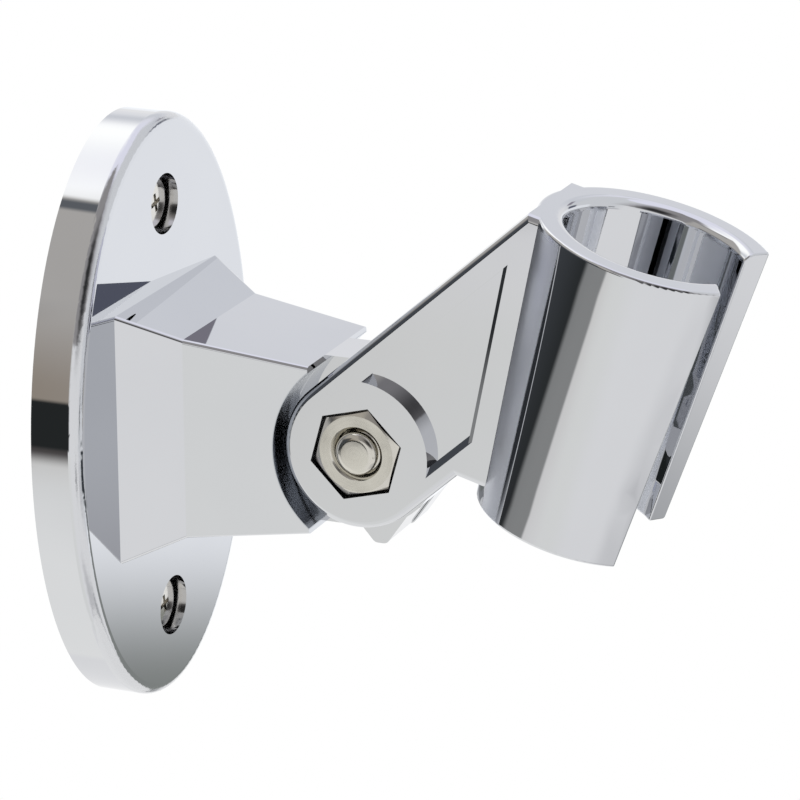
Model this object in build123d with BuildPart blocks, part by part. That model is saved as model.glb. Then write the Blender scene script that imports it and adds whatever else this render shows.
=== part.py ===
from build123d import *
import os
from math import cos, hypot, radians, sin

# Wall hand shower holder, in millimetres.
# +X points out of the wall, +Z up, and the origin is the centre of the plate's back face.

# Wall plate: an upright oval with a rounded front edge and a shallow moulded recess behind
plate_width = 50.4
plate_height = 76.0
plate_thickness = 6.5
plate_edge_radius = 1.5
back_rim = 3.0
back_recess_depth = 3.2

# Wall screws: two pan heads sunk in counterbores, one above the other
screw_margin = 11.35
screw_thread_diameter = 3.5
screw_neck_diameter = 2.9
screw_neck_stand = 0.3
screw_length = 9.0
screw_tip_length = 2.2
screw_head_diameter = 6.4
screw_head_height = 2.4
screw_head_rim = 0.9
screw_seat_depth = 3.6
screw_head_clearance = 0.65
screw_hole_clearance = 0.25
screw_boss_wall = 2.0
cross_recess_length = 3.6
cross_recess_width = 0.9
cross_recess_depth = 1.2

# Block on the plate: a steep flare to a neck, then a slow taper to the end
base_width = 29.5
base_height = 32.2
neck_reach = 7.3
neck_width = 22.0
neck_height = 25.8
block_length = 15.9
end_width = 18.5
end_height = 21.6
block_edge_radius = 0.5
core_wall = 2.4
core_front_wall = 2.8

# Tongue that the fork straddles, with a stop lug under its nose
pivot_reach = 35.5
tongue_width = 7.6
nose_setback = 1.2
lug_drop = 1.95
lug_lead = 1.0
lug_toe = 0.7
lug_heel = 2.3
lug_run = 5.0
lug_corner_radius = 0.9
socket_radius = 13.4
socket_gap = 0.65

# Pivot bolt and nut
bolt_diameter = 6.0
bolt_end_chamfer = 0.7
bolt_end_stand = 0.45
bolt_head_diameter = 10.5
bolt_head_height = 3.3
bolt_head_rim = 0.8
bolt_head_land = 5.6
bolt_socket_width = 4.0
bolt_socket_depth = 2.0
bolt_head_seat = 2.9
bolt_head_clearance = 0.4
running_clearance = 0.08
thread_clearance = 0.02
nut_width = 10.0
nut_height = 2.9
nut_chamfer = 0.45
nut_countersink = 0.45
nut_recess_depth = 3.0
nut_clearance = 0.38

# Friction washers between tongue and cheeks
washer_diameter = 14.0
washer_thickness = 0.3
washer_clearance = 0.03

# Fork arm, drawn with the cup upright and then tilted about the pivot
cup_tilt = 15.2
arm_width = 16.1
arm_angle = 56.9
cheek_radius = 9.65
arm_edge_radius = 0.9
arm_foot_height = 2.2
fork_root_clearance = 0.3
ear_front_angle = -33.0
ear_back_angle = -85.0
ear_corner = (5.9, -11.4)
ear_toe = (4.0, -12.7)
ear_corner_radius = 1.0
boss_radius = 9.4
pocket_margin = 3.2
pocket_foot_margin = 2.9
pocket_depth = 1.8
pocket_foot_bevel = 0.8
pocket_foot_slope = 0.28
pocket_end_bevel = 0.45
pocket_end_slope = 0.055

# Conical cup, open in front
cup_offset = 26.8
cup_bottom = -0.35
cup_height = 37.65
cup_top_radius = 14.75
cup_bottom_radius = 12.6
cup_edge_radius = 0.4
bore_top_radius = 11.1
bore_bottom_radius = 10.0
bore_edge_radius = 1.35
mouth_half_width = 9.3
lip_angle = 63.0
lip_edge_radius = 0.22

# Places that follow from those sizes
neck_x = plate_thickness + neck_reach
end_x = neck_x + block_length
seat_x = plate_thickness - screw_seat_depth
screw_spacing = plate_height - 2 * screw_margin
counterbore_radius = screw_head_diameter / 2 + screw_head_clearance
half_tongue = tongue_width / 2
half_arm = arm_width / 2
nose_radius = end_height / 2
nose_x = pivot_reach - nose_setback
socket_x = pivot_reach - cheek_radius - socket_gap
cheek_inner = half_tongue + washer_thickness + washer_clearance
bore_radius = bolt_diameter / 2 + running_clearance
lug_reach = hypot(lug_heel, nose_radius + lug_drop)
fork_root_radius = lug_reach + fork_root_clearance
cup_top = cup_bottom + cup_height
pivot_axis = Axis((pivot_reach, 0, 0), (0, 1, 0))

# Planes of the tilted arm: its side view, and its plan seen along the cup
tilt = radians(cup_tilt)
arm_across = (cos(tilt), 0, -sin(tilt))
arm_upward = (sin(tilt), 0, cos(tilt))
arm_side = Plane(origin=(pivot_reach, 0, 0), x_dir=arm_across, z_dir=(0, -1, 0))
arm_plan = Plane(origin=(pivot_reach, 0, 0), x_dir=arm_across, z_dir=arm_upward)
cup_axis_start = arm_side.from_local_coords(Vector(cup_offset, cup_bottom, 0))
cup_axis = Axis(cup_axis_start, arm_upward)
arm_slope = radians(arm_angle - cup_tilt)
arm_rise = Axis((pivot_reach, 0, 0), (-sin(arm_slope), 0, cos(arm_slope)))


def along_arm(run, side):
    """Point of the arm's side view, run along its centre line and side to its upper side."""
    angle = radians(arm_angle)
    return (run * cos(angle) - side * sin(angle), run * sin(angle) + side * cos(angle))


def arm_edge_at_height(side, height):
    """Point where a line along the arm, side from its centre line, reaches a height."""
    angle = radians(arm_angle)
    run = (height - side * cos(angle)) / sin(angle)
    return along_arm(run, side)


def arm_edge_at_cup(side, margin):
    """Point where a line along the arm comes within margin of the cup's trace on its side."""
    low = (cup_bottom_radius ** 2 - half_arm ** 2) ** 0.5
    high = (cup_top_radius ** 2 - half_arm ** 2) ** 0.5
    lean = (low - high) / cup_height
    angle = radians(arm_angle)
    trace = cup_offset - low - margin - lean * cup_bottom
    run = (trace + side * sin(angle) + lean * side * cos(angle)) / (cos(angle) - lean * sin(angle))
    return along_arm(run, side)


def lip_line(radius):
    """Corners of the wedge that opens the cup's front, for its outer radius at that height."""
    lip_x = cup_offset + (radius ** 2 - mouth_half_width ** 2) ** 0.5
    slope = cos(radians(lip_angle)) / sin(radians(lip_angle))
    reach = 2 * cup_top_radius
    apex = (lip_x - mouth_half_width * slope, 0)
    far = (apex[0] + reach, reach)
    shoulder = (apex[0] + reach * slope, reach)
    return [apex, shoulder, far, (far[0], -far[1]), (shoulder[0], -shoulder[1])]


# Wall bracket: plate, block and tongue moulded in one
with BuildPart() as wall_bracket:
    with BuildSketch(Plane.YZ):
        Ellipse(plate_width / 2, plate_height / 2)
    extrude(amount=plate_thickness)
    fillet(wall_bracket.faces().sort_by(Axis.X)[-1].edges(), radius=plate_edge_radius)
    with BuildSketch(Plane.YZ.offset(plate_thickness)):
        RectangleRounded(base_width, base_height, block_edge_radius)
    with BuildSketch(Plane.YZ.offset(neck_x)):
        RectangleRounded(neck_width, neck_height, block_edge_radius)
    loft()
    with BuildSketch(Plane.YZ.offset(neck_x)):
        RectangleRounded(neck_width, neck_height, block_edge_radius)
    with BuildSketch(Plane.YZ.offset(end_x)):
        RectangleRounded(end_width, end_height, block_edge_radius)
    loft()

    # Round sockets for the fork's cheeks on both sides of the tongue
    with BuildSketch(Plane.XZ):
        with Locations((socket_x + socket_radius, 0)):
            Circle(socket_radius)
    extrude(amount=plate_width, both=True, mode=Mode.SUBTRACT)

    # Tongue with a round nose and a stop lug
    with BuildSketch(Plane.XZ):
        with BuildLine():
            Polyline(
                (nose_x, nose_radius),
                (neck_x, nose_radius),
                (neck_x, -nose_radius),
                (nose_x, -nose_radius),
            )
            ThreePointArc(
                (nose_x, -nose_radius),
                (nose_x + nose_radius, 0),
                (nose_x, nose_radius),
            )
        make_face()
        with BuildSketch(Plane.XZ, mode=Mode.PRIVATE) as lug:
            with BuildLine():
                Polyline(
                    (pivot_reach - lug_lead, -nose_radius),
                    (pivot_reach + lug_toe, -nose_radius - lug_drop),
                    (pivot_reach + lug_heel, -nose_radius - lug_drop),
                    (pivot_reach + lug_run, -nose_radius + lug_drop),
                    (pivot_reach, 0),
                    close=True,
                )
            make_face()
            fillet(lug.vertices().group_by(Axis.Y)[0], radius=lug_corner_radius)
        add(lug.sketch)
    extrude(amount=half_tongue, both=True)
    with BuildSketch(Plane.XZ):
        with Locations((pivot_reach, 0)):
            Circle(bore_radius)
    extrude(amount=tongue_width, both=True, mode=Mode.SUBTRACT)

    # Recess and core behind, with a boss round each screw
    with BuildSketch(Plane.YZ):
        Ellipse(plate_width / 2 - back_rim, plate_height / 2 - back_rim)
        with GridLocations(0, screw_spacing, 1, 2):
            Circle(counterbore_radius + screw_boss_wall, mode=Mode.SUBTRACT)
    extrude(amount=back_recess_depth, mode=Mode.SUBTRACT)
    with BuildSketch(Plane.YZ.offset(back_recess_depth)):
        Rectangle(base_width - 4 * core_wall, base_height - 4 * core_wall)
    with BuildSketch(Plane.YZ.offset(socket_x - core_front_wall)):
        Rectangle(end_width - 2 * core_wall, end_height - 2 * core_wall)
    loft(mode=Mode.SUBTRACT)

    # Counterbored screw holes
    with Locations(Plane.YZ.offset(plate_thickness)):
        with GridLocations(0, screw_spacing, 1, 2):
            CounterBoreHole(
                radius=screw_thread_diameter / 2 + screw_hole_clearance,
                counter_bore_radius=counterbore_radius,
                counter_bore_depth=screw_seat_depth,
            )

# Holder arm: fork and conical cup moulded in one
with BuildPart() as holder_arm:
    with BuildSketch(arm_side):
        with BuildLine():
            Polyline(
                along_arm(0, cheek_radius),
                arm_edge_at_height(cheek_radius, cup_top),
                (cup_offset, cup_top),
                (cup_offset, arm_foot_height),
                arm_edge_at_height(-cheek_radius, arm_foot_height),
                along_arm(0, -cheek_radius),
            )
            ThreePointArc(
                along_arm(0, -cheek_radius),
                along_arm(-cheek_radius, 0),
                along_arm(0, cheek_radius),
            )
        make_face()
    extrude(amount=half_arm, both=True)
    side_faces = holder_arm.faces().filter_by(Axis.Y)
    fillet(side_faces.edges(), radius=arm_edge_radius)

    # Cup wall as a turned cone
    with BuildSketch(arm_side):
        with BuildLine():
            FilletPolyline(
                (cup_offset, cup_bottom),
                (cup_offset + cup_bottom_radius, cup_bottom),
                (cup_offset + cup_top_radius, cup_top),
                (cup_offset, cup_top),
                radius=cup_edge_radius,
            )
            Line((cup_offset, cup_top), (cup_offset, cup_bottom))
        make_face()
    revolve(axis=cup_axis)

    # Tapered bore, well rounded at its upper edge
    with BuildSketch(arm_side):
        with BuildLine():
            Polyline(
                (cup_offset, cup_bottom),
                (cup_offset + bore_bottom_radius, cup_bottom),
                (cup_offset + bore_top_radius, cup_top),
                (cup_offset, cup_top),
                close=True,
            )
        make_face()
    revolve(axis=cup_axis, mode=Mode.SUBTRACT)
    bore_edges = holder_arm.edges(Select.LAST).filter_by(GeomType.CIRCLE)
    fillet(bore_edges.sort_by(cup_axis)[-1], radius=bore_edge_radius)

    # Front opening between the lips
    with BuildSketch(arm_plan.offset(cup_bottom)):
        Polygon(*lip_line(cup_bottom_radius), align=None)
    with BuildSketch(arm_plan.offset(cup_top)):
        Polygon(*lip_line(cup_top_radius), align=None)
    loft(mode=Mode.SUBTRACT)
    fillet(holder_arm.edges(Select.LAST), radius=lip_edge_radius)

    # Stop ear under the far cheek
    with BuildSketch(arm_side.offset(-half_arm)) as ear:
        with BuildLine():
            Polyline(
                (0, 0),
                (cheek_radius * cos(radians(ear_front_angle)), cheek_radius * sin(radians(ear_front_angle))),
                ear_corner,
                ear_toe,
                (cheek_radius * cos(radians(ear_back_angle)), cheek_radius * sin(radians(ear_back_angle))),
                close=True,
            )
        make_face()
        fillet(ear.vertices().sort_by(Axis.Y)[:2], radius=ear_corner_radius)
    extrude(amount=half_arm - cheek_inner)

    # Fork slot, round at its root
    with BuildSketch(arm_side):
        Circle(fork_root_radius)
    extrude(amount=cheek_inner, both=True, mode=Mode.SUBTRACT)

    # Shallow pocket on each side, following the arm's outline and the boss round the pivot
    with BuildSketch(arm_side.offset(half_arm - pocket_depth)):
        with BuildLine():
            Polyline(
                along_arm(0, cheek_radius - pocket_margin),
                arm_edge_at_cup(cheek_radius - pocket_margin, pocket_margin),
                arm_edge_at_cup(pocket_foot_margin - cheek_radius, pocket_margin),
                along_arm(0, pocket_foot_margin - cheek_radius),
                close=True,
            )
        make_face()
        Circle(boss_radius, mode=Mode.SUBTRACT)
    near_pocket = extrude(amount=pocket_depth, mode=Mode.SUBTRACT)
    mirror(near_pocket, about=Plane.XZ, mode=Mode.SUBTRACT)

    # Bevels along the foot of each pocket and along its end at the cup
    for cheek in (0, -1):
        cheek_face = holder_arm.faces().filter_by(Axis.Y).sort_by(Axis.Y)[cheek]
        foot_edge = cheek_face.inner_wires()[0].edges().sort_by(arm_rise)[0]
        chamfer(foot_edge, length=pocket_foot_bevel, length2=pocket_foot_slope, reference=cheek_face)
        cheek_face = holder_arm.faces().filter_by(Axis.Y).sort_by(Axis.Y)[cheek]
        end_edge = cheek_face.inner_wires()[0].edges().filter_by(GeomType.LINE).sort_by(Axis.X)[-1]
        chamfer(end_edge, length=pocket_end_bevel, length2=pocket_end_slope, reference=cheek_face)

    # Pivot bore, hexagon recess for the nut and round seat for the bolt head
    with BuildSketch(arm_side):
        Circle(bore_radius)
    extrude(amount=arm_width, both=True, mode=Mode.SUBTRACT)
    with BuildSketch(arm_side.offset(half_arm)):
        RegularPolygon(nut_width / 2 + nut_clearance, 6, major_radius=False, rotation=90)
    extrude(amount=-nut_recess_depth, mode=Mode.SUBTRACT)
    with BuildSketch(arm_side.offset(-half_arm)):
        Circle(bolt_head_diameter / 2 + bolt_head_clearance)
    extrude(amount=bolt_head_seat, mode=Mode.SUBTRACT)

# Pivot bolt: button head with a hexagon socket on the far side
bolt_seat_y = half_arm - bolt_head_seat
bolt_end_y = -half_arm - bolt_end_stand
bolt_radius = bolt_diameter / 2
with BuildPart() as pivot_bolt:
    with BuildSketch(Plane.YZ.offset(pivot_reach)):
        with BuildLine():
            Polyline(
                (bolt_seat_y + bolt_head_height, 0),
                (bolt_end_y, 0),
                (bolt_end_y, bolt_radius - bolt_end_chamfer),
                (bolt_end_y + bolt_end_chamfer, bolt_radius),
                (bolt_seat_y, bolt_radius),
                (bolt_seat_y, bolt_head_diameter / 2),
                (bolt_seat_y + bolt_head_rim, bolt_head_diameter / 2),
            )
            TangentArc(
                (bolt_seat_y + bolt_head_rim, bolt_head_diameter / 2),
                (bolt_seat_y + bolt_head_height, bolt_head_land / 2),
                tangent=(1, 0),
            )
            Line(
                (bolt_seat_y + bolt_head_height, bolt_head_land / 2),
                (bolt_seat_y + bolt_head_height, 0),
            )
        make_face()
    revolve(axis=pivot_axis)
    with BuildSketch(arm_side.offset(-bolt_seat_y - bolt_head_height)):
        RegularPolygon(bolt_socket_width / 2, 6, major_radius=False)
    extrude(amount=bolt_socket_depth, mode=Mode.SUBTRACT)

# Pivot nut: thin hexagon nut with both faces turned to a chamfer
nut_seat_y = nut_recess_depth - half_arm
nut_face_y = nut_seat_y - nut_height
nut_corner = nut_width / 2 / cos(radians(30))
nut_land = nut_width / 2 - nut_chamfer / 3
nut_bore = bolt_radius + thread_clearance
with BuildPart() as pivot_nut:
    with BuildSketch(arm_side.offset(-nut_seat_y)):
        RegularPolygon(nut_width / 2, 6, major_radius=False, rotation=90)
    extrude(amount=nut_height)
    with BuildSketch(Plane.YZ.offset(pivot_reach)):
        with BuildLine():
            Polyline(
                (nut_face_y, nut_bore + nut_countersink),
                (nut_face_y, nut_land),
                (nut_face_y + nut_chamfer, nut_corner),
                (nut_seat_y - nut_chamfer, nut_corner),
                (nut_seat_y, nut_land),
                (nut_seat_y, nut_bore + nut_countersink),
                (nut_seat_y - nut_countersink, nut_bore),
                (nut_face_y + nut_countersink, nut_bore),
                close=True,
            )
        make_face()
    revolve(axis=pivot_axis, mode=Mode.INTERSECT)

# Friction washers on both faces of the tongue
with BuildPart() as near_washer:
    with BuildSketch(Plane.XZ.offset(half_tongue)):
        with Locations((pivot_reach, 0)):
            Circle(washer_diameter / 2)
            Circle(bore_radius, mode=Mode.SUBTRACT)
    extrude(amount=washer_thickness)
with BuildPart() as far_washer:
    mirror(near_washer.part, about=Plane.XZ)


def wall_screw(height):
    """Pan head screw with a cross recess, seated in the counterbore at that height."""
    screw_side = Plane(origin=(seat_x, 0, height), x_dir=(1, 0, 0), z_dir=(0, -1, 0))
    head_top = Plane.YZ.offset(seat_x + screw_head_height)
    with BuildPart() as screw:
        with BuildSketch(screw_side):
            with BuildLine():
                Polyline(
                    (screw_head_height, 0),
                    (-screw_length, 0),
                    (screw_tip_length - screw_length, screw_thread_diameter / 2),
                    (-seat_x - screw_neck_stand, screw_thread_diameter / 2),
                    (-seat_x - screw_neck_stand, screw_neck_diameter / 2),
                    (0, screw_neck_diameter / 2),
                    (0, screw_head_diameter / 2),
                    (screw_head_rim, screw_head_diameter / 2),
                )
                TangentArc(
                    (screw_head_height, 0),
                    (screw_head_rim, screw_head_diameter / 2),
                    tangent=(0, 1),
                )
            make_face()
        revolve(axis=Axis((seat_x, 0, height), (1, 0, 0)))
        with BuildSketch(head_top):
            with Locations((0, height)):
                Rectangle(cross_recess_length, cross_recess_width)
                Rectangle(cross_recess_width, cross_recess_length)
        extrude(amount=-cross_recess_depth, mode=Mode.SUBTRACT)
    return screw.part


pieces = {
    "wall_bracket": wall_bracket.part,
    "holder_arm": holder_arm.part,
    "pivot_bolt": pivot_bolt.part,
    "pivot_nut": pivot_nut.part,
    "near_friction_washer": near_washer.part,
    "far_friction_washer": far_washer.part,
    "upper_wall_screw": wall_screw(screw_spacing / 2),
    "lower_wall_screw": wall_screw(-screw_spacing / 2),
}
os.makedirs("parts", exist_ok=True)
for name, piece in pieces.items():
    piece.label = name
    export_step(piece, f"parts/{name}.step")
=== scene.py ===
"""Chromed wall holder for a hand shower: plated mouldings, threaded fasteners and a bright studio."""

import logging
import math
from abc import ABC, abstractmethod
from dataclasses import dataclass, field
from enum import Enum
from typing import Any, Dict, List, Optional, Sequence, Tuple, Union

import bmesh
import bpy
from mathutils import Matrix, Vector

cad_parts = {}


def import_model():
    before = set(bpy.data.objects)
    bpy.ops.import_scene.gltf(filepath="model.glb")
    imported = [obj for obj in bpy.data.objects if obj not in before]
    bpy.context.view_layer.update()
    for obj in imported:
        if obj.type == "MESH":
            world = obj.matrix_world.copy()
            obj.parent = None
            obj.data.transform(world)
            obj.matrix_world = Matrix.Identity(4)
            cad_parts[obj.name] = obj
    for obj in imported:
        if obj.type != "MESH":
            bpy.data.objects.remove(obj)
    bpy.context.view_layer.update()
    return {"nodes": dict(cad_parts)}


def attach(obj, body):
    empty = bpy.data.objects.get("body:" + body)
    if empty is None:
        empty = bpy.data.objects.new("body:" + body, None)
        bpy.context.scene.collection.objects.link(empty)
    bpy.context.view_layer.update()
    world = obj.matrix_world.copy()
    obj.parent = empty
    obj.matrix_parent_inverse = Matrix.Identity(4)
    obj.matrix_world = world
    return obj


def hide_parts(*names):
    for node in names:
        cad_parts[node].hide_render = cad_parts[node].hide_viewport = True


LOG = logging.getLogger("hand_shower_holder")
Colour = Tuple[float, float, float]
Point = Tuple[float, float, float]
Span = Tuple[float, float]
Profile = List[Tuple[float, float]]
Nodes = Dict[str, bpy.types.Object]
Socket = bpy.types.NodeSocket
Tree = bpy.types.NodeTree
Value = Union[Socket, float]
Shade = Union[Socket, Colour]
MM = 0.001


class Body(Enum):
    """Bodies that the pieces ride on."""

    BRACKET = "bracket"
    ARM = "arm"


class Slot(Enum):
    """Material slots of the record."""

    CHROME = "chrome_plating"
    STAINLESS = "stainless_steel"
    NICKEL = "nickel_steel"
    WASHER = "washer_plastic"


class Drive(Enum):
    """Recess that a fastener is driven by."""

    CROSS = "cross"
    HEXAGON = "hexagon"


class Axis(Enum):
    """Axis of the frame, by its place in a vector."""

    X = 0
    Y = 1


def math_node(tree: Tree, operation: str, *values: Value) -> Socket:
    """Math node on sockets and numbers.

    Args:
        tree: Node tree that gets the node.
        operation: Name of the operation.
        values: Sockets or numbers for its inputs, in order.

    Returns:
        The result's socket.
    """
    node = tree.nodes.new("ShaderNodeMath")
    node.operation = operation
    for place, value in enumerate(values):
        if isinstance(value, (int, float)):
            node.inputs[place].default_value = value
        else:
            tree.links.new(value, node.inputs[place])
    return node.outputs[0]


def product(tree: Tree, *values: Value) -> Socket:
    """Product of two or more values.

    Args:
        tree: Node tree that gets the nodes.
        values: Sockets or numbers to multiply.

    Returns:
        The product's socket.
    """
    result = values[0]
    for value in values[1:]:
        result = math_node(tree, "MULTIPLY", result, value)
    return result


def hypotenuse(tree: Tree, first: Socket, second: Socket) -> Socket:
    """Length of two parts at a right angle.

    Args:
        tree: Node tree that gets the nodes.
        first: Socket of one part.
        second: Socket of the other part.

    Returns:
        The length's socket.
    """
    squares = [product(tree, part, part) for part in (first, second)]
    return math_node(tree, "SQRT", math_node(tree, "ADD", *squares))


def map_range(tree: Tree, value: Socket, source: Span, target: Span, smooth: bool = False) -> Socket:
    """Clamped Map Range node.

    Args:
        tree: Node tree that gets the node.
        value: Socket to map.
        source: Range of the value.
        target: Range of the result.
        smooth: Whether the ends are eased.

    Returns:
        The mapped value's socket.
    """
    node = tree.nodes.new("ShaderNodeMapRange")
    node.clamp = True
    if smooth:
        node.interpolation_type = "SMOOTHSTEP"
    node.inputs["From Min"].default_value = source[0]
    node.inputs["From Max"].default_value = source[1]
    node.inputs["To Min"].default_value = target[0]
    node.inputs["To Max"].default_value = target[1]
    tree.links.new(value, node.inputs["Value"])
    return node.outputs["Result"]


def past(tree: Tree, value: Socket, limit: float, blur: float, smooth: bool = False) -> Socket:
    """Mask that is 1 where a value is past a limit.

    Args:
        tree: Node tree that gets the node.
        value: Socket to test.
        limit: Middle of the mask's edge.
        blur: Half width of the mask's edge.
        smooth: Whether the edge is eased.

    Returns:
        The mask's socket.
    """
    return map_range(tree, value, (limit - blur, limit + blur), (0.0, 1.0), smooth)


def short_of(tree: Tree, value: Socket, limit: float, blur: float, smooth: bool = False) -> Socket:
    """Mask that is 1 where a value is short of a limit.

    Args:
        tree: Node tree that gets the node.
        value: Socket to test.
        limit: Middle of the mask's edge.
        blur: Half width of the mask's edge.
        smooth: Whether the edge is eased.

    Returns:
        The mask's socket.
    """
    return map_range(tree, value, (limit - blur, limit + blur), (1.0, 0.0), smooth)


def mix_colour(tree: Tree, factor: Socket, first: Shade, second: Shade) -> Socket:
    """Mix node for two colours.

    Args:
        tree: Node tree that gets the node.
        factor: Socket of the share of the second colour.
        first: Socket or colour where the factor is 0.
        second: Socket or colour where the factor is 1.

    Returns:
        The mixed colour's socket.
    """
    node = tree.nodes.new("ShaderNodeMix")
    node.data_type = "RGBA"
    tree.links.new(factor, node.inputs[0])
    for place, colour in ((6, first), (7, second)):
        if isinstance(colour, tuple):
            node.inputs[place].default_value = (*colour, 1.0)
        else:
            tree.links.new(colour, node.inputs[place])
    return node.outputs[2]


def object_parts(tree: Tree) -> Tuple[Socket, Socket, Socket]:
    """Object coordinates along the three axes.

    Args:
        tree: Node tree that gets the nodes.

    Returns:
        Sockets of x, y and z in metres.
    """
    coords = tree.nodes.new("ShaderNodeTexCoord")
    parts = tree.nodes.new("ShaderNodeSeparateXYZ")
    tree.links.new(coords.outputs["Object"], parts.inputs[0])
    return parts.outputs["X"], parts.outputs["Y"], parts.outputs["Z"]


def object_noise(tree: Tree, scale: float, detail: float) -> Socket:
    """Noise on Object coordinates.

    Args:
        tree: Node tree that gets the nodes.
        scale: Noise scale per metre.
        detail: Octaves of the noise.

    Returns:
        The noise factor's socket.
    """
    coords = tree.nodes.new("ShaderNodeTexCoord")
    noise = tree.nodes.new("ShaderNodeTexNoise")
    noise.inputs["Scale"].default_value = scale
    noise.inputs["Detail"].default_value = detail
    tree.links.new(coords.outputs["Object"], noise.inputs["Vector"])
    return noise.outputs["Fac"]


def add_bump(tree: Tree, shader: bpy.types.Node, height: Socket, strength: float, distance: float) -> None:
    """Link a bump to a shader's normal.

    Args:
        tree: Node tree of the shader.
        shader: Node whose Normal is set.
        height: Height socket.
        strength: Bump strength.
        distance: Bump distance in metres.
    """
    bump = tree.nodes.new("ShaderNodeBump")
    bump.inputs["Strength"].default_value = strength
    bump.inputs["Distance"].default_value = distance
    tree.links.new(height, bump.inputs["Height"])
    tree.links.new(bump.outputs["Normal"], shader.inputs["Normal"])


def new_material(name: str) -> Tuple[bpy.types.Material, Tree, bpy.types.Node]:
    """Start a node material with a Principled shader.

    Args:
        name: Name of the finish.

    Returns:
        The material, its node tree and its Principled node.
    """
    material = bpy.data.materials.new(name)
    material.use_nodes = True
    tree = material.node_tree
    shader = next(node for node in tree.nodes if node.type == "BSDF_PRINCIPLED")
    return material, tree, shader


class Region(ABC):
    """Part of a moulding's surface, told by where it lies."""

    @abstractmethod
    def mask(self, tree: Tree) -> Socket:
        """Make the mask's nodes.

        Args:
            tree: Material's node tree.

        Returns:
            Socket that is 1 in the region and 0 outside.
        """


@dataclass(frozen=True)
class DeepHole(Region):
    """Round hole or socket round an axis: where the plating reaches less well in the counterbores, and where
    painted shade goes in the cheeks' sockets and the nut's recess.

    It lies round an axis through centre, and mirrored says that it is repeated at -z.
    """

    axis: Axis
    centre: Point
    radius: float
    low: float
    high: float
    mirrored: bool = False
    blur: float = 0.15 * MM

    def mask(self, tree: Tree) -> Socket:
        """Make the mask's nodes.

        Args:
            tree: Material's node tree.

        Returns:
            Socket that is 1 inside the hole and 0 outside.
        """
        parts = list(object_parts(tree))
        if self.mirrored:
            parts[2] = math_node(tree, "ABSOLUTE", parts[2])
        across = [math_node(tree, "SUBTRACT", parts[place], self.centre[place])
                  for place in range(3) if place != self.axis.value]
        along = parts[self.axis.value]
        return product(
            tree,
            short_of(tree, hypotenuse(tree, *across), self.radius, self.blur),
            past(tree, along, self.low, self.blur),
            short_of(tree, along, self.high, self.blur),
        )


@dataclass(frozen=True)
class CupSector(Region):
    """Sector of the cup's wall on both sides, by its angles in degrees from the open front."""

    angles: Span
    inner: float
    outer: float
    least_side: float
    top: float
    pivot_x: float = 35.5 * MM
    tilt: float = 15.2
    cup_offset: float = 26.8 * MM
    angle_blur: float = 0.7
    blur: float = 0.05 * MM
    top_blur: float = 0.4 * MM

    def mask(self, tree: Tree) -> Socket:
        """Make the mask's nodes.

        Args:
            tree: Material's node tree.

        Returns:
            Socket that is 1 in the sector and 0 outside.
        """
        x, y, z = object_parts(tree)
        lean, upright = math.sin(math.radians(self.tilt)), math.cos(math.radians(self.tilt))
        ahead = math_node(tree, "SUBTRACT", x, self.pivot_x)
        level = math_node(tree, "SUBTRACT", product(tree, ahead, upright), product(tree, z, lean))
        front = math_node(tree, "SUBTRACT", level, self.cup_offset)
        height = math_node(tree, "ADD", product(tree, ahead, lean), product(tree, z, upright))
        side = math_node(tree, "ABSOLUTE", y)
        angle = math_node(tree, "DEGREES", math_node(tree, "ARCTAN2", side, front))
        reach = hypotenuse(tree, front, side)
        return product(
            tree,
            past(tree, angle, self.angles[0], self.angle_blur),
            short_of(tree, angle, self.angles[1], self.angle_blur),
            past(tree, reach, self.inner, self.blur),
            short_of(tree, reach, self.outer, self.blur),
            past(tree, side, self.least_side, self.blur),
            short_of(tree, height, self.top, self.top_blur),
        )


@dataclass(frozen=True)
class OvalEdge(Region):
    """Rounded front edge of an oval plate, past a share of its half axes and a height."""

    half_width: float
    half_height: float
    share: float
    low: float
    share_blur: float = 0.006
    blur: float = 0.15 * MM

    def mask(self, tree: Tree) -> Socket:
        """Make the mask's nodes.

        Args:
            tree: Material's node tree.

        Returns:
            Socket that is 1 on the edge and 0 elsewhere.
        """
        x, y, z = object_parts(tree)
        across = math_node(tree, "DIVIDE", y, self.half_width)
        upward = math_node(tree, "DIVIDE", z, self.half_height)
        outer = past(tree, hypotenuse(tree, across, upward), self.share, self.share_blur)
        return product(tree, outer, past(tree, x, self.low, self.blur))


@dataclass(frozen=True)
class Patch:
    """Region of a plated moulding with a gloss, and maybe a colour, of its own."""

    region: Region
    roughness: float
    colour: Optional[Colour] = None


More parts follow.
